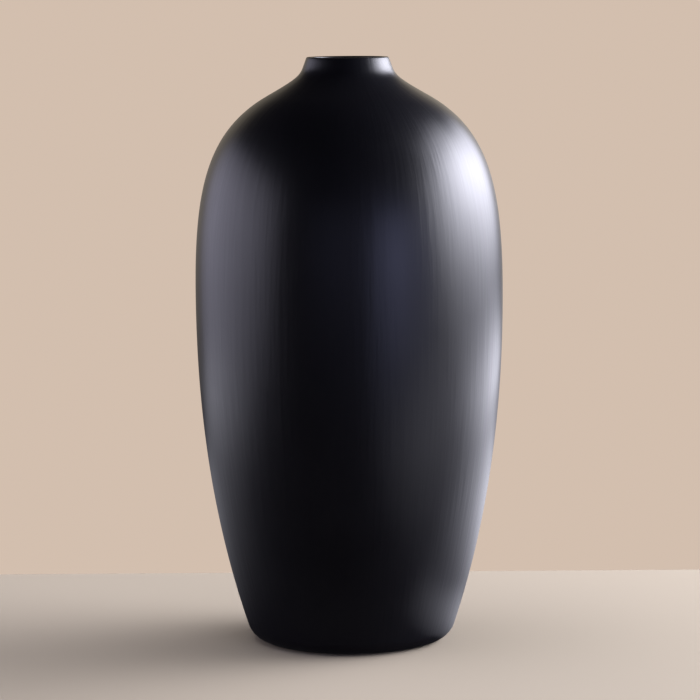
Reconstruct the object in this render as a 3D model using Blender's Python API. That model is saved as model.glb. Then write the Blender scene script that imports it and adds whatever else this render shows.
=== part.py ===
"""A tall black clay vase with a short narrow neck: one hollow vessel of fired clay.

The whole vessel is one piece, turned about +Z. The origin is the middle of the
plane it rests on, and every size below is in metres or degrees.
"""

import math

import bpy
from mathutils import Vector

# Driving dimensions of the outside.
HEIGHT = 0.406
FOOT_RADIUS = 0.058
FOOT_CORNER = 0.015
FOOT_SLOPE = 71.7
BELLY_RADIUS = 0.1066
BELLY_HEIGHT = 0.2444
NECK_RADIUS = 0.0558
NECK_HEIGHT = 0.3794
NECK_SLOPE = 29.7
MOUTH_RADIUS = 0.0283
MOUTH_SLOPE = 68.5

# How far each wall curve holds its direction as it leaves its lower end and
# reaches its upper end.
LOWER_WALL_HOLD = (0.0917, 0.0639)
SHOULDER_HOLD = (0.0749, 0.0460)
NECK_HOLD = (0.0303, 0.0132)

# The clay: thick at the floor, thinner up the wall, thinnest at the lip.
FLOOR_THICKNESS = 0.009
WALL_THICKNESS = 0.006
LIP_THICKNESS = 0.004
FLOOR_BLEND_HEIGHT = 0.070
LIP_BLEND_HEIGHT = 0.030
LIP_ROUNDING = 0.0010

# The underside stands on a flat ring around a shallow hollow.
RING_INNER_RADIUS = 0.036
HOLLOW_RADIUS = 0.030
HOLLOW_DEPTH = 0.0015

# How finely the outline and the turning are divided.
TURN_STEPS = 60
CORNER_STEPS = 4
LOWER_WALL_STEPS = 9
SHOULDER_STEPS = 11
NECK_STEPS = 6
LIP_EDGE_STEPS = 2
MERGE_DISTANCE = 0.00001


def direction(slope_degrees):
    """Unit direction in the (radius, height) half plane, rising at a slope."""
    slope = math.radians(slope_degrees)
    return Vector((math.cos(slope), math.sin(slope)))


def arc(centre, radius, start, end, steps):
    """Points and outward directions along an arc, from start to end degrees."""
    stations = []
    for step in range(steps + 1):
        outward = direction(start + (end - start) * step / steps)
        stations.append((centre + radius * outward, outward))
    return stations


def wall_curve(low, low_way, high, high_way, hold, steps):
    """Points and outward directions along one cubic stretch of the wall."""
    p0 = low
    p1 = low + low_way * hold[0]
    p2 = high - high_way * hold[1]
    p3 = high
    stations = []
    for step in range(steps + 1):
        t = step / steps
        u = 1.0 - t
        point = u**3 * p0 + 3 * u**2 * t * p1 + 3 * u * t**2 * p2 + t**3 * p3
        along = u**2 * (p1 - p0) + 2 * u * t * (p2 - p1) + t**2 * (p3 - p2)
        along.normalize()
        stations.append((point, Vector((along.y, -along.x))))
    return stations


def outer_stations():
    """The outside of the wall, from the edge of the foot up to just below the lip."""
    corner_centre = Vector((FOOT_RADIUS, FOOT_CORNER))
    corner = arc(corner_centre, FOOT_CORNER, -90.0, FOOT_SLOPE - 90.0, CORNER_STEPS)
    belly = Vector((BELLY_RADIUS, BELLY_HEIGHT))
    neck = Vector((NECK_RADIUS, NECK_HEIGHT))
    mouth = Vector((MOUTH_RADIUS, HEIGHT))
    upright = direction(90.0)
    into_neck = direction(180.0 - NECK_SLOPE)
    to_mouth = direction(180.0 - MOUTH_SLOPE)
    foot_way = direction(FOOT_SLOPE)
    lower = wall_curve(corner[-1][0], foot_way, belly, upright, LOWER_WALL_HOLD, LOWER_WALL_STEPS)
    shoulder = wall_curve(belly, upright, neck, into_neck, SHOULDER_HOLD, SHOULDER_STEPS)
    neck_wall = wall_curve(neck, into_neck, mouth, to_mouth, NECK_HOLD, NECK_STEPS)
    return corner + lower[1:] + shoulder[1:] + neck_wall[1:-1]


def clay_thickness(height):
    """Thickness of the clay, measured square to the wall, at a height."""
    floor_share = max(0.0, 1.0 - height / FLOOR_BLEND_HEIGHT)
    lip_share = max(0.0, 1.0 - (HEIGHT - height) / LIP_BLEND_HEIGHT)
    extra_floor = (FLOOR_THICKNESS - WALL_THICKNESS) * floor_share**2
    less_lip = (WALL_THICKNESS - LIP_THICKNESS) * lip_share
    return WALL_THICKNESS + extra_floor - less_lip


def lip_stations():
    """The flat top of the lip, from the inside out, with both of its edges rounded."""
    face = 90.0 - MOUTH_SLOPE
    outward = direction(face)
    inner_edge = MOUTH_RADIUS - LIP_THICKNESS / outward.x
    inner_centre = Vector((inner_edge, HEIGHT))
    inner_centre += LIP_ROUNDING * Vector(((1.0 + outward.y) / outward.x, -1.0))
    outer_centre = Vector((MOUTH_RADIUS, HEIGHT))
    outer_centre -= LIP_ROUNDING * Vector(((1.0 - outward.y) / outward.x, 1.0))
    inner_arc = arc(inner_centre, LIP_ROUNDING, face + 180.0, 90.0, LIP_EDGE_STEPS)
    outer_arc = arc(outer_centre, LIP_ROUNDING, 90.0, face, LIP_EDGE_STEPS)
    return inner_arc + outer_arc


def half_section():
    """The vessel's half section as one open line that starts and ends on the axis.

    It runs out along the inner floor, up the inside, over the lip, down the
    outside and back to the axis along the underside.
    """
    outer = outer_stations()
    inside = [point - outward * clay_thickness(point.y) for point, outward in outer]
    lip = [point for point, outward in lip_stations()]
    outside = [point for point, outward in reversed(outer)]
    floor_centre = Vector((0.0, FLOOR_THICKNESS))
    underside = [
        Vector((RING_INNER_RADIUS, 0.0)),
        Vector((HOLLOW_RADIUS, HOLLOW_DEPTH)),
        Vector((0.0, HOLLOW_DEPTH)),
    ]
    return [floor_centre] + inside + lip + outside + underside


def burnished_black_clay():
    """Near-black clay with a satin burnish."""
    material = bpy.data.materials.new("burnished_black_clay")
    material.use_nodes = True
    shader = material.node_tree.nodes["Principled BSDF"]
    shader.inputs["Base Color"].default_value = (0.012, 0.012, 0.016, 1.0)
    shader.inputs["Roughness"].default_value = 0.38
    shader.inputs["Metallic"].default_value = 0.0
    return material


def turn(name, section, material):
    """Turn a half section about +Z into one closed, smooth-shaded body."""
    mesh = bpy.data.meshes.new(name)
    points = [(point.x, 0.0, point.y) for point in section]
    edges = [(index, index + 1) for index in range(len(points) - 1)]
    mesh.from_pydata(points, edges, [])
    mesh.materials.append(material)
    body = bpy.data.objects.new(name, mesh)
    bpy.context.scene.collection.objects.link(body)
    wheel = body.modifiers.new("wheel", "SCREW")
    wheel.axis = "Z"
    wheel.angle = math.radians(360.0)
    wheel.steps = TURN_STEPS
    wheel.render_steps = TURN_STEPS
    wheel.use_merge_vertices = True
    wheel.merge_threshold = MERGE_DISTANCE
    wheel.use_smooth_shade = True
    return body


def main():
    for leftover in list(bpy.data.objects):
        bpy.data.objects.remove(leftover, do_unlink=True)
    turn("clay_pot", half_section(), burnished_black_clay())


main()
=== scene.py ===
import math

import bpy
from mathutils import Euler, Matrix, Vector


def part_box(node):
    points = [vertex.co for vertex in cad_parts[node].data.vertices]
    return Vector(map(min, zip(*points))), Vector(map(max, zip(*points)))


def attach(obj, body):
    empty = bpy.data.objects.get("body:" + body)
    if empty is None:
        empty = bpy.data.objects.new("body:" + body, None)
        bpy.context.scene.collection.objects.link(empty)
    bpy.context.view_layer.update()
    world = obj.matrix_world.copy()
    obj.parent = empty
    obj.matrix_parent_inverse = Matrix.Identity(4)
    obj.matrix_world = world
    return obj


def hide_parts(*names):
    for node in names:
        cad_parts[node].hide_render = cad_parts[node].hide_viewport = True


# The look of a tall black clay vase: burnished outside, sooty and hand-ridged inside.
# Sizes are in metres and angles in degrees unless a name says otherwise.

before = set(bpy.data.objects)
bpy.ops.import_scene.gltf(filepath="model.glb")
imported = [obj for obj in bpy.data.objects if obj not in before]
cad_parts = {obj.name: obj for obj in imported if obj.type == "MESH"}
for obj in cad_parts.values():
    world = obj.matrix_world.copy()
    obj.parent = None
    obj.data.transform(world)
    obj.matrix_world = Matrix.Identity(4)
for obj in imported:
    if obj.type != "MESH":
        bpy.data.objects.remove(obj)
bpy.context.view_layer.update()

CAD_NODE = "clay_pot"
pot_low, pot_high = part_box(CAD_NODE)
HEIGHT = pot_high.z - pot_low.z
BELLY_RADIUS = (pot_high.x - pot_low.x) / 2.0

# The outline of the outside, as the CAD model has it.
FOOT_RADIUS = 0.058
FOOT_CORNER = 0.015
FOOT_SLOPE = 71.7
BELLY_HEIGHT = 0.2444
NECK_RADIUS = 0.0558
NECK_HEIGHT = 0.3794
NECK_SLOPE = 29.7
MOUTH_RADIUS = 0.0283
MOUTH_SLOPE = 68.5
LOWER_WALL_HOLD = (0.0917, 0.0639)
SHOULDER_HOLD = (0.0749, 0.0460)
NECK_HOLD = (0.0303, 0.0132)

# The clay and the underside.
FLOOR_THICKNESS = 0.009
WALL_THICKNESS = 0.006
LIP_THICKNESS = 0.004
FLOOR_BLEND_HEIGHT = 0.070
LIP_BLEND_HEIGHT = 0.030
LIP_ROUNDING = 0.0010
RING_INNER_RADIUS = 0.036
HOLLOW_RADIUS = 0.030
HOLLOW_DEPTH = 0.0015

# How finely the vase is turned: rows along the outline and steps around it.
ROW_LENGTH = 0.0026
LIP_EDGE_ROWS = 6
CORNER_ROWS = 14
TURN_STEPS = 180
SEAM_MERGE = 0.00001

# Traces of the hand: a slow waver in the wall, soft coil ridges inside, and the
# scraper's rings under the foot.
WAVER_DEPTH = 0.00025
WAVER_SIZE = 0.090
RIDGE_DEPTH = 0.00060
RIDGE_SPACING = 0.0125
RIDGE_START = 0.030
RIDGE_WANDER = 6.0
SCRAPE_DEPTH = 0.00018
SCRAPE_SPACING = 0.0032
HAND_SEED = 7.0

# How far down the inside of the neck the burnish reaches before it fades out.
BURNISH_REACH = 0.016

# The clay's finish: patch sizes, relief depths, roughness and colours.
STROKE_WIDTH = 0.0032
STROKE_STRETCH = 0.06
STROKE_DEPTH = 0.00011
CLOUD_SIZE = 0.120
CLOUD_RANGE = 0.20
SOOT_RANGE = 0.25
MOTTLE_SIZE = 0.018
GRAIN_SIZE = 0.0009
BURNISHED_GRAIN = 0.000002
RAW_GRAIN = 0.00012
POLISH_SPREAD = 0.05
BURNISHED_ROUGHNESS = 0.305
RAW_ROUGHNESS = 0.75
BURNISHED_DARK = (0.0045, 0.0045, 0.0065, 1.0)
BURNISHED_PALE = (0.0090, 0.0090, 0.0120, 1.0)
SOOT_DARK = (0.012, 0.011, 0.011, 1.0)
SOOT_PALE = (0.035, 0.032, 0.030, 1.0)

# The studio.
FLOOR_WIDTH = 1.10
FLOOR_LENGTH = 0.91
FLOOR_MIDDLE = -0.208
FLOOR_DEPTH = 0.020
FLOOR_EDGE = 0.004
FLOOR_EDGE_STEPS = 4
FLOOR_COLOUR = (0.46, 0.40, 0.31, 1.0)
FLOOR_ROUGHNESS = 0.60
WALL_COLOUR = (0.65, 0.52, 0.425, 1.0)
ROOM_COLOUR = (0.018, 0.016, 0.019, 1.0)

# Light colours: daylight, cool skylight, the blue of open shade, and a warm wall.
DAYLIGHT = (0.97, 0.97, 1.10)
SKYLIGHT = (0.95, 0.92, 1.15)
SHADE = (0.80, 0.85, 1.45)
WARM = (1.16, 1.00, 0.76)

# Soft boxes around the vase, aimed at its middle and fading out to their edges: name,
# azimuth, elevation, size, brightness in the middle, and colour.
BOX_DISTANCE = 1.8
SOFT_BOXES = (
    ("window", 108.0, 16.0, (3.6, 1.35), 10.4, DAYLIGHT),
    ("window_sun", 103.0, 28.0, (1.7, 1.4), 6.6, DAYLIGHT),
    ("left_window", -98.0, 9.0, (3.8, 1.6), 2.1, SKYLIGHT),
    ("front_right", 42.0, 5.0, (1.9, 1.0), 0.80, SHADE),
    ("front_strip", 30.0, 3.0, (1.1, 0.9), 0.75, SHADE),
    ("front", -8.0, 6.0, (1.8, 1.0), 0.15, SHADE),
    ("wall_right", 166.0, 12.0, (0.9, 1.5), 0.70, WARM),
    ("wall_left", -160.0, 12.0, (1.9, 1.5), 0.38, WARM),
)

# Glowing boards that lie beside the vase and fill its lower wall, in thin layers: name,
# reach across, reach in depth and brightness in the middle.
BOARDS = (
    ("foot_board", (0.063, 0.150), (-0.10, 0.11), 0.8),
    ("right_board", (0.08, 0.60), (-0.10, 0.80), 2.1),
    ("middle_right_board", (0.25, 0.95), (0.00, 1.20), 0.7),
    ("far_right_board", (0.55, 1.40), (-0.20, 1.70), 5.9),
    ("front_right_board", (0.12, 1.20), (-0.70, 0.00), 0.85),
    ("left_board", (-0.70, -0.08), (-0.10, 0.80), 0.42),
    ("far_left_board", (-1.30, -0.50), (-0.30, 1.00), 1.4),
)
BOARD_LAYER = 0.0006

# A broad light over the slab, which lights nothing but the slab.
SLAB_LIGHT_HEIGHT = 1.6
SLAB_LIGHT_PLACE = (-0.3, -0.1)
SLAB_LIGHT_SIZE = (2.0, 2.0)
SLAB_LIGHT_BRIGHTNESS = 2.6

# The camera.
CAMERA_DISTANCE = 2.20
CAMERA_HEIGHT = 0.460
CAMERA_TILT = 6.672
CAMERA_SIDE = 0.0003
CAMERA_LEAN = -0.40
CAMERA_LENS = 163.6


# ---------------------------------------------------------------- outline


def fade(start, end, value):
    """0 before start, 1 past end, and a smooth rise between them."""
    share = min(1.0, max(0.0, (value - start) / (end - start)))
    return share * share * (3.0 - 2.0 * share)


def direction(slope):
    """Unit direction in the (radius, height) half plane, rising at a slope."""
    angle = math.radians(slope)
    return Vector((math.cos(angle), math.sin(angle)))


def arc(centre, radius, start, end, rows):
    """Points and outward directions along an arc, from start to end degrees."""
    stations = []
    for row in range(rows + 1):
        outward = direction(start + (end - start) * row / rows)
        stations.append((centre + radius * outward, outward))
    return stations


def wall_curve(low, low_way, high, high_way, hold):
    """Points and outward directions along one cubic stretch of the wall."""
    p0 = low
    p1 = low + low_way * hold[0]
    p2 = high - high_way * hold[1]
    p3 = high
    rows = max(8, round((high - low).length / ROW_LENGTH))
    stations = []
    for row in range(rows + 1):
        t = row / rows
        u = 1.0 - t
        point = u**3 * p0 + 3 * u**2 * t * p1 + 3 * u * t**2 * p2 + t**3 * p3
        along = u**2 * (p1 - p0) + 2 * u * t * (p2 - p1) + t**2 * (p3 - p2)
        along.normalize()
        stations.append((point, Vector((along.y, -along.x))))
    return stations


def outside_of_wall():
    """The outside, from the edge of the foot up to just below the lip."""
    corner_centre = Vector((FOOT_RADIUS, FOOT_CORNER))
    corner = arc(corner_centre, FOOT_CORNER, -90.0, FOOT_SLOPE - 90.0, CORNER_ROWS)
    belly = Vector((BELLY_RADIUS, BELLY_HEIGHT))
    neck = Vector((NECK_RADIUS, NECK_HEIGHT))
    mouth = Vector((MOUTH_RADIUS, HEIGHT))
    upright = direction(90.0)
    into_neck = direction(180.0 - NECK_SLOPE)
    to_mouth = direction(180.0 - MOUTH_SLOPE)
    lower = wall_curve(corner[-1][0], direction(FOOT_SLOPE), belly, upright, LOWER_WALL_HOLD)
    shoulder = wall_curve(belly, upright, neck, into_neck, SHOULDER_HOLD)
    neck_wall = wall_curve(neck, into_neck, mouth, to_mouth, NECK_HOLD)
    return corner + lower[1:] + shoulder[1:] + neck_wall[1:-1]


def clay_thickness(height):
    """Thickness of the clay, measured square to the wall, at a height."""
    floor_share = max(0.0, 1.0 - height / FLOOR_BLEND_HEIGHT)
    lip_share = max(0.0, 1.0 - (HEIGHT - height) / LIP_BLEND_HEIGHT)
    extra_floor = (FLOOR_THICKNESS - WALL_THICKNESS) * floor_share**2
    less_lip = (WALL_THICKNESS - LIP_THICKNESS) * lip_share
    return WALL_THICKNESS + extra_floor - less_lip


def lip():
    """The flat top of the lip, from the inside out, with both of its edges rounded."""
    face = 90.0 - MOUTH_SLOPE
    outward = direction(face)
    inner_edge = MOUTH_RADIUS - LIP_THICKNESS / outward.x
    inner_centre = Vector((inner_edge, HEIGHT))
    inner_centre += LIP_ROUNDING * Vector(((1.0 + outward.y) / outward.x, -1.0))
    outer_centre = Vector((MOUTH_RADIUS, HEIGHT))
    outer_centre -= LIP_ROUNDING * Vector(((1.0 - outward.y) / outward.x, 1.0))
    inner_arc = arc(inner_centre, LIP_ROUNDING, face + 180.0, 90.0, LIP_EDGE_ROWS)
    outer_arc = arc(outer_centre, LIP_ROUNDING, 90.0, face, LIP_EDGE_ROWS)
    return inner_arc + outer_arc


def level(radii, height, outward):
    """Points at one height, at each radius in turn."""
    return [(Vector((radius, height)), outward) for radius in radii]


def spaced(start, end):
    """Even steps from start towards end, about a row apart, without the end."""
    rows = max(1, round(abs(end - start) / ROW_LENGTH))
    return [start + (end - start) * row / rows for row in range(rows)]


def station_list():
    """The whole half section, from the middle of the inner floor over the lip to the
    middle of the underside, each station with its point, outward direction and shares:
    burnished, ridged by the coils, and scraped underneath."""
    outer = outside_of_wall()
    stations = []
    floor_edge = outer[0][0].x
    for point, outward in level(spaced(0.0, floor_edge), FLOOR_THICKNESS, direction(90.0)):
        stations.append((point, outward, 0.0, 0.0, 0.0))
    for point, outward in outer:
        inner = point - outward * clay_thickness(point.y)
        burnished = fade(HEIGHT - BURNISH_REACH, HEIGHT, inner.y)
        ridged = fade(FLOOR_THICKNESS, RIDGE_START, inner.y) * (1.0 - burnished)
        stations.append((inner, -outward, burnished, ridged, 0.0))
    for point, outward in lip() + outer[::-1]:
        stations.append((point, outward, 1.0, 0.0, 0.0))
    down = direction(-90.0)
    for point, outward in level(spaced(FOOT_RADIUS, RING_INNER_RADIUS)[1:], 0.0, down):
        stations.append((point, outward, 0.0, 0.0, 0.0))
    for radius in spaced(RING_INNER_RADIUS, HOLLOW_RADIUS):
        rise = fade(RING_INNER_RADIUS, HOLLOW_RADIUS, radius)
        stations.append((Vector((radius, HOLLOW_DEPTH * rise)), down, 0.0, 0.0, rise))
    for point, outward in level(spaced(HOLLOW_RADIUS, 0.0) + [0.0], HOLLOW_DEPTH, down):
        stations.append((point, outward, 0.0, 0.0, 1.0))
    return stations


# ---------------------------------------------------------------- node helpers


def add(tree, kind, settings=None, inputs=None):
    """Add a node. An input given as a socket is wired, any other value is set."""
    made = tree.nodes.new(kind)
    for name, value in (settings or {}).items():
        setattr(made, name, value)
    for key, value in (inputs or {}).items():
        if isinstance(value, bpy.types.NodeSocket):
            tree.links.new(value, made.inputs[key])
        else:
            made.inputs[key].default_value = value
    return made


def maths(tree, operation, *values):
    """The result of one Math node."""
    inputs = dict(enumerate(values))
    return add(tree, "ShaderNodeMath", {"operation": operation}, inputs).outputs[0]


def product(tree, *values):
    """All the values multiplied together."""
    result = values[0]
    for value in values[1:]:
        result = maths(tree, "MULTIPLY", result, value)
    return result


def vector_maths(tree, operation, *values):
    """The vector result of one Vector Math node."""
    inputs = dict(enumerate(values))
    return add(tree, "ShaderNodeVectorMath", {"operation": operation}, inputs).outputs[0]


def scaled(tree, vector, factor):
    """A vector times one number."""
    settings = {"operation": "SCALE"}
    return add(tree, "ShaderNodeVectorMath", settings, {0: vector, "Scale": factor}).outputs[0]


def ranged(tree, value, low, high, to_low, to_high):
    """A value carried from one range to another, held at its ends."""
    inputs = {"Value": value, 1: low, 2: high, 3: to_low, 4: to_high}
    return add(tree, "ShaderNodeMapRange", {"clamp": True}, inputs).outputs[0]


def noise(tree, place, per_metre, detail, seed):
    """Smooth noise about zero, from -0.5 to 0.5, with so many patches to the metre."""
    settings = {"noise_dimensions": "4D"}
    inputs = {"Vector": place, "W": seed, "Scale": per_metre, "Detail": detail}
    factor = add(tree, "ShaderNodeTexNoise", settings, inputs).outputs[0]
    return maths(tree, "SUBTRACT", factor, 0.5)


# ---------------------------------------------------------------- the wheel

WHEEL_INPUTS = (
    ("Turn Steps", "NodeSocketInt"),
    ("Waver Depth", "NodeSocketFloat"),
    ("Waver Size", "NodeSocketFloat"),
    ("Ridge Depth", "NodeSocketFloat"),
    ("Ridge Spacing", "NodeSocketFloat"),
    ("Scrape Depth", "NodeSocketFloat"),
    ("Scrape Spacing", "NodeSocketFloat"),
    ("Seed", "NodeSocketFloat"),
    ("Clay", "NodeSocketMaterial"),
)
SHARES = ("burnished", "ridged", "scraped")


def from_outline(tree, outline, row, name, kind):
    """A value that the outline holds, read at each grid point's own row."""
    if name == "position":
        source = add(tree, "GeometryNodeInputPosition").outputs[0]
    else:
        named = add(tree, "GeometryNodeInputNamedAttribute", {"data_type": kind}, {"Name": name})
        source = named.outputs["Attribute"]
    settings = {"data_type": kind, "domain": "POINT"}
    inputs = {"Geometry": outline, "Value": source, "Index": row}
    return add(tree, "GeometryNodeSampleIndex", settings, inputs).outputs["Value"]


def turned(tree, vector, angle):
    """A vector turned about the vase's axis."""
    settings = {"rotation_type": "Z_AXIS"}
    inputs = {"Vector": vector, "Angle": angle}
    return add(tree, "ShaderNodeVectorRotate", settings, inputs).outputs[0]


def waver_noise(tree, given, place, detail):
    """Noise with patches as wide as the waver in the wall."""
    per_metre = maths(tree, "DIVIDE", 1.0, given["Waver Size"])
    return noise(tree, place, per_metre, detail, given["Seed"])


def coil_ridges(tree, given, place, height, angle, share):
    """Soft ridges that climb the inside as one long coil, a little unevenly."""
    turns = maths(tree, "DIVIDE", height, given["Ridge Spacing"])
    coil = maths(tree, "ADD", maths(tree, "MULTIPLY", turns, math.tau), angle)
    wander = maths(tree, "MULTIPLY", waver_noise(tree, given, place, 3.0), RIDGE_WANDER)
    ridge = maths(tree, "SINE", maths(tree, "ADD", coil, wander))
    return product(tree, ridge, given["Ridge Depth"], share)


def scraper_rings(tree, given, parts, share):
    """Fine rings that the scraper leaves under the foot."""
    flat = add(tree, "ShaderNodeCombineXYZ", None, {0: parts.outputs["X"], 1: parts.outputs["Y"]})
    radius = add(tree, "ShaderNodeVectorMath", {"operation": "LENGTH"}, {0: flat.outputs[0]})
    rings = maths(tree, "DIVIDE", radius.outputs["Value"], given["Scrape Spacing"])
    ring = maths(tree, "SINE", maths(tree, "MULTIPLY", rings, math.tau))
    return product(tree, ring, given["Scrape Depth"], share)


def hand_traces(tree, given, place, angle, shares):
    """How far the hand leaves the wall proud of the true outline, at each point."""
    parts = add(tree, "ShaderNodeSeparateXYZ", None, {0: place})
    height = parts.outputs["Z"]
    off_floor = ranged(tree, height, 0.0, 2.0 * FOOT_CORNER, 0.0, 1.0)
    waver = product(tree, waver_noise(tree, given, place, 1.0), given["Waver Depth"], off_floor)
    ridge = coil_ridges(tree, given, place, height, angle, shares["ridged"])
    scrape = scraper_rings(tree, given, parts, shares["scraped"])
    return maths(tree, "ADD", waver, maths(tree, "ADD", ridge, scrape))


def wheel_group():
    """The wheel's empty node group, with its named inputs and its one output."""
    tree = bpy.data.node_groups.new("potters_wheel", "GeometryNodeTree")
    tree.interface.new_socket("Outline", in_out="INPUT", socket_type="NodeSocketGeometry")
    for name, kind in WHEEL_INPUTS:
        tree.interface.new_socket(name, in_out="INPUT", socket_type=kind)
    tree.interface.new_socket("Vase", in_out="OUTPUT", socket_type="NodeSocketGeometry")
    return tree


def wheel_grid(tree, outline, steps):
    """A grid with one row for each point of the outline and one column for each step of
    the turn, and the row and the angle of each grid point."""
    size = add(tree, "GeometryNodeAttributeDomainSize", {"component": "MESH"}, {0: outline})
    columns = maths(tree, "ADD", steps, 1.0)
    inputs = {"Vertices X": size.outputs["Point Count"], "Vertices Y": columns}
    grid = add(tree, "GeometryNodeMeshGrid", None, inputs).outputs["Mesh"]
    index = add(tree, "GeometryNodeInputIndex").outputs[0]
    middle = maths(tree, "ADD", index, 0.5)
    row = maths(tree, "FLOOR", maths(tree, "DIVIDE", middle, columns))
    column = maths(tree, "SUBTRACT", index, maths(tree, "MULTIPLY", row, columns))
    turn = maths(tree, "MODULO", maths(tree, "DIVIDE", column, steps), 1.0)
    return grid, row, maths(tree, "MULTIPLY", turn, math.tau)


def wheel_tree():
    """Turns an outline about Z into a closed clay wall with the traces of the hand."""
    tree = wheel_group()
    given = tree.nodes.new("NodeGroupInput").outputs
    outline = given["Outline"]
    wall, row, angle = wheel_grid(tree, outline, given["Turn Steps"])

    place = turned(tree, from_outline(tree, outline, row, "position", "FLOAT_VECTOR"), angle)
    outward = turned(tree, from_outline(tree, outline, row, "outward", "FLOAT_VECTOR"), angle)
    shares = {name: from_outline(tree, outline, row, name, "FLOAT") for name in SHARES}
    proud = hand_traces(tree, given, place, angle, shares)

    for name in SHARES:
        settings = {"data_type": "FLOAT", "domain": "POINT"}
        inputs = {"Geometry": wall, "Name": name, "Value": shares[name]}
        wall = add(tree, "GeometryNodeStoreNamedAttribute", settings, inputs).outputs[0]
    inputs = {"Geometry": wall, "Position": place, "Offset": scaled(tree, outward, proud)}
    wall = add(tree, "GeometryNodeSetPosition", None, inputs).outputs[0]
    inputs = {"Geometry": wall, "Distance": SEAM_MERGE}
    wall = add(tree, "GeometryNodeMergeByDistance", None, inputs).outputs[0]
    wall = add(tree, "GeometryNodeSetShadeSmooth", None, {"Geometry": wall}).outputs[0]
    wall = add(tree, "GeometryNodeRealizeInstances", None, {0: wall}).outputs[0]
    inputs = {"Geometry": wall, "Material": given["Clay"]}
    wall = add(tree, "GeometryNodeSetMaterial", None, inputs).outputs[0]
    tree.links.new(wall, tree.nodes.new("NodeGroupOutput").inputs["Vase"])
    return tree


def outline_object():
    """The half section as a line of points that carry their outward way and shares."""
    stations = station_list()
    mesh = bpy.data.meshes.new("vase_outline")
    points = [(point.x, 0.0, point.y) for point, *rest in stations]
    edges = [(row, row + 1) for row in range(len(points) - 1)]
    mesh.from_pydata(points, edges, [])
    outward = mesh.attributes.new("outward", "FLOAT_VECTOR", "POINT")
    for row, station in enumerate(stations):
        outward.data[row].vector = (station[1].x, 0.0, station[1].y)
    for place, name in enumerate(SHARES):
        share = mesh.attributes.new(name, "FLOAT", "POINT")
        for row, station in enumerate(stations):
            share.data[row].value = station[2 + place]
    made = bpy.data.objects.new("vase_outline", mesh)
    bpy.context.scene.collection.objects.link(made)
    return made


def turn_vase(clay):
    """The whole vase as one plain mesh."""
    outline = outline_object()
    wheel = outline.modifiers.new("wheel", "NODES")
    wheel.node_group = wheel_tree()
    chosen = {
        "Turn Steps": TURN_STEPS,
        "Waver Depth": WAVER_DEPTH,
        "Waver Size": WAVER_SIZE,
        "Ridge Depth": RIDGE_DEPTH,
        "Ridge Spacing": RIDGE_SPACING,
        "Scrape Depth": SCRAPE_DEPTH,
        "Scrape Spacing": SCRAPE_SPACING,
        "Seed": HAND_SEED,
        "Clay": clay,
    }
    for socket in wheel.node_group.interface.items_tree:
        if socket.in_out == "INPUT" and socket.name in chosen:
            wheel[socket.identifier] = chosen[socket.name]
    depsgraph = bpy.context.evaluated_depsgraph_get()
    mesh = bpy.data.meshes.new_from_object(outline.evaluated_get(depsgraph))
    mesh.name = "black_clay_vase"
    mesh.materials.clear()
    mesh.materials.append(clay)
    bpy.data.objects.remove(outline)
    vase = bpy.data.objects.new("black_clay_vase", mesh)
    bpy.context.scene.collection.objects.link(vase)
    return vase


# ---------------------------------------------------------------- clay


def burnishing_strokes(tree, place):
    """Noise stretched along the height, like the strokes of a burnishing stone."""
    parts = add(tree, "ShaderNodeSeparateXYZ", None, {0: place})
    flat = add(tree, "ShaderNodeCombineXYZ", None, {0: parts.outputs["X"], 1: parts.outputs["Y"]})
    around = scaled(tree, vector_maths(tree, "NORMALIZE", flat.outputs[0]), BELLY_RADIUS)
    rise = maths(tree, "MULTIPLY", parts.outputs["Z"], STROKE_STRETCH)
    lift = add(tree, "ShaderNodeCombineXYZ", None, {2: rise}).outputs[0]
    along_wall = vector_maths(tree, "ADD", around, lift)
    return noise(tree, along_wall, 1.0 / STROKE_WIDTH, detail=3.0, seed=1.0)


def mixed(tree, share, first, second):
    """The first colour where the share is 0, and the second where it is 1."""
    inputs = {0: share, 6: first, 7: second}
    return add(tree, "ShaderNodeMix", {"data_type": "RGBA"}, inputs).outputs[2]


def clay_colour(tree, burnished, clouds, mottle):
    """Cloudy black where the clay is burnished, and blotchy soot where it isn't."""
    cloudy = ranged(tree, clouds, -CLOUD_RANGE, CLOUD_RANGE, 0.0, 1.0)
    blotchy = maths(tree, "ADD", mottle, clouds)
    sooty = ranged(tree, blotchy, -SOOT_RANGE, SOOT_RANGE, 0.0, 1.0)
    outer = mixed(tree, cloudy, BURNISHED_DARK, BURNISHED_PALE)
    inner = mixed(tree, sooty, SOOT_DARK, SOOT_PALE)
    return mixed(tree, burnished, inner, outer)


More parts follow.
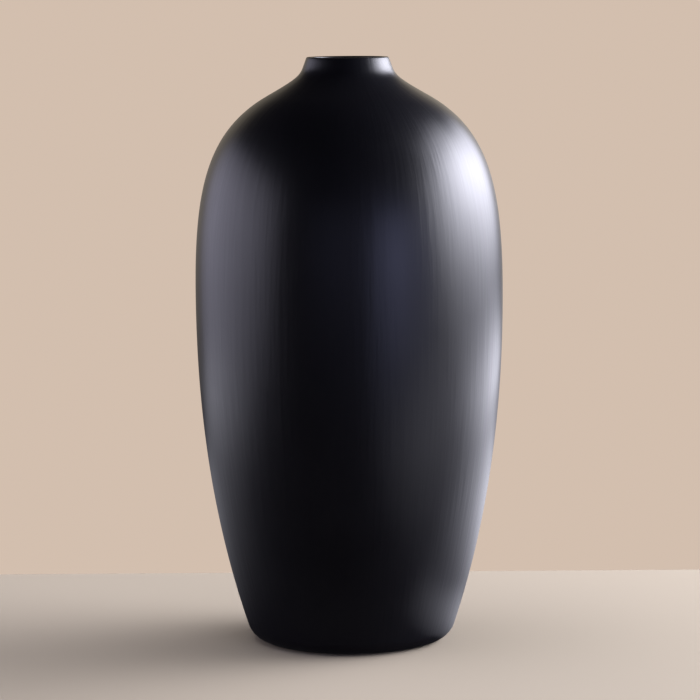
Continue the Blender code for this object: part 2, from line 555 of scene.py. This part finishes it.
def black_clay():
    """Near-black fired clay: burnished outside, matte with soot where it isn't."""
    material = bpy.data.materials.new("burnished_and_sooty_clay")
    material.use_nodes = True
    tree = material.node_tree
    shader = tree.nodes["Principled BSDF"]
    place = add(tree, "ShaderNodeTexCoord").outputs["Object"]
    burnished = add(tree, "ShaderNodeAttribute", {"attribute_name": "burnished"}).outputs["Fac"]
    strokes = burnishing_strokes(tree, place)
    clouds = noise(tree, place, 1.0 / CLOUD_SIZE, detail=4.0, seed=2.0)
    mottle = noise(tree, place, 1.0 / MOTTLE_SIZE, detail=3.0, seed=3.0)
    grain = noise(tree, place, 1.0 / GRAIN_SIZE, detail=2.0, seed=4.0)
    colour = clay_colour(tree, burnished, clouds, mottle)
    tree.links.new(colour, shader.inputs["Base Color"])

    uneven = maths(tree, "MULTIPLY", maths(tree, "ADD", strokes, mottle), POLISH_SPREAD)
    polish = ranged(tree, burnished, 0.0, 1.0, RAW_ROUGHNESS, BURNISHED_ROUGHNESS)
    tree.links.new(maths(tree, "ADD", polish, uneven), shader.inputs["Roughness"])

    grain_depth = ranged(tree, burnished, 0.0, 1.0, RAW_GRAIN, BURNISHED_GRAIN)
    pores = maths(tree, "MULTIPLY", grain, grain_depth)
    tracks = product(tree, strokes, burnished, STROKE_DEPTH)
    relief = maths(tree, "ADD", pores, tracks)
    bump = add(tree, "ShaderNodeBump", None, {"Height": relief, "Distance": 1.0, "Strength": 1.0})
    tree.links.new(bump.outputs["Normal"], shader.inputs["Normal"])
    return material


# ---------------------------------------------------------------- stage and light


def pale_floor():
    """One even pale colour, quite matte, so the window doesn't glare on it."""
    material = bpy.data.materials.new("pale_floor")
    material.use_nodes = True
    shader = material.node_tree.nodes["Principled BSDF"]
    shader.inputs["Base Color"].default_value = FLOOR_COLOUR
    shader.inputs["Roughness"].default_value = FLOOR_ROUGHNESS
    shader.inputs["Specular IOR Level"].default_value = 0.0
    return material


def stage_floor():
    """A plain pale slab for the vase, with softly rounded edges. It stays out of the
    vase's gloss, so the burnish reflects only the dim studio, its soft boxes and its
    boards."""
    bpy.ops.mesh.primitive_cube_add(size=1.0)
    floor = bpy.context.object
    floor.name = "stage_floor"
    for corner in floor.data.vertices:
        corner.co.x *= FLOOR_WIDTH
        corner.co.y = FLOOR_MIDDLE + corner.co.y * FLOOR_LENGTH
        corner.co.z = (corner.co.z - 0.5) * FLOOR_DEPTH
    edge = floor.modifiers.new("edge", "BEVEL")
    edge.width = FLOOR_EDGE
    edge.segments = FLOOR_EDGE_STEPS
    floor.data.materials.append(pale_floor())
    floor.visible_glossy = False
    return floor


def fade_to_edges(light):
    """Makes a light brightest in its middle, with a smooth fall to nothing at its edges:
    across each side it is 1 less 4 times the square of the way off the middle."""
    light.use_nodes = True
    tree = light.node_tree
    across = add(tree, "ShaderNodeNewGeometry").outputs["Parametric"]
    parts = add(tree, "ShaderNodeSeparateXYZ", None, {0: across})
    falls = []
    for side in ("X", "Y"):
        off_middle = maths(tree, "SUBTRACT", parts.outputs[side], 0.5)
        square = maths(tree, "MULTIPLY", off_middle, off_middle)
        falls.append(maths(tree, "MULTIPLY_ADD", square, -4.0, 1.0))
    both = maths(tree, "MULTIPLY", *falls)
    tree.links.new(both, tree.nodes["Emission"].inputs["Strength"])


def lamp(name, size, brightness, colour):
    """A rectangular light that faces down -Z and fades out to its edges. Its power
    follows its area, so brightness alone says how bright its middle looks."""
    light = bpy.data.lights.new(name, "AREA")
    light.shape = "RECTANGLE"
    light.size, light.size_y = size
    light.energy = brightness * math.pi * size[0] * size[1]
    light.color = colour
    fade_to_edges(light)
    made = bpy.data.objects.new(name, light)
    made.visible_camera = False
    bpy.context.scene.collection.objects.link(made)
    return made


def soft_box(name, azimuth, elevation, size, brightness, colour):
    """A soft box aimed at the middle of the vase. Azimuth 0 is the camera's side, 90 the
    right."""
    around = math.radians(azimuth)
    up = math.radians(elevation)
    way = Vector((math.sin(around) * math.cos(up), -math.cos(around) * math.cos(up), math.sin(up)))
    box = lamp(name, size, brightness, colour)
    box.location = Vector((0.0, 0.0, HEIGHT / 2.0)) + way * BOX_DISTANCE
    box.rotation_euler = way.to_track_quat("Z", "Y").to_euler()


def low_board(layer, name, across, depth, brightness):
    """A board that lies on the slab, or over the boards before it, and glows upwards."""
    size = (across[1] - across[0], depth[1] - depth[0])
    board = lamp(name, size, brightness, DAYLIGHT)
    board.location = (sum(across) / 2.0, sum(depth) / 2.0, layer * BOARD_LAYER)
    board.rotation_euler = (math.radians(180.0), 0.0, 0.0)


def slab_light(floor):
    """A broad light from above that keeps the slab pale and leaves the vase alone."""
    light = lamp("slab_light", SLAB_LIGHT_SIZE, SLAB_LIGHT_BRIGHTNESS, DAYLIGHT)
    light.location = (*SLAB_LIGHT_PLACE, SLAB_LIGHT_HEIGHT)
    lit = bpy.data.collections.new("lit_by_slab_light")
    lit.objects.link(floor)
    light.light_linking.receiver_collection = lit


def studio_world():
    """A dim room that lights the vase a little, with a plain warm wall for the camera."""
    world = bpy.data.worlds.new("studio")
    world.use_nodes = True
    tree = world.node_tree
    room = tree.nodes["Background"]
    room.inputs["Color"].default_value = ROOM_COLOUR
    wall = add(tree, "ShaderNodeBackground", None, {"Color": WALL_COLOUR})
    seen = add(tree, "ShaderNodeLightPath").outputs["Is Camera Ray"]
    inputs = {0: seen, 1: room.outputs[0], 2: wall.outputs[0]}
    both = add(tree, "ShaderNodeMixShader", None, inputs)
    tree.links.new(both.outputs[0], tree.nodes["World Output"].inputs["Surface"])
    bpy.context.scene.world = world


def studio_camera():
    """The camera, a little above the vase's mouth and looking slightly down."""
    lens = bpy.data.cameras.new("camera")
    lens.lens = CAMERA_LENS
    camera = bpy.data.objects.new("camera", lens)
    camera.location = (CAMERA_SIDE, -CAMERA_DISTANCE, CAMERA_HEIGHT)
    aim = Euler((math.radians(90.0 - CAMERA_TILT), 0.0, 0.0)).to_matrix()
    lean = Euler((0.0, 0.0, math.radians(CAMERA_LEAN))).to_matrix()
    camera.rotation_euler = (aim @ lean).to_euler()
    bpy.context.scene.collection.objects.link(camera)
    bpy.context.scene.camera = camera


vase = turn_vase(black_clay())
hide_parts(CAD_NODE)
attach(vase, "root")

slab_light(stage_floor())
for box in SOFT_BOXES:
    soft_box(*box)
for layer, board in enumerate(BOARDS, start=1):
    low_board(layer, *board)
studio_world()
studio_camera()
bpy.context.scene.view_settings.view_transform = "Standard"
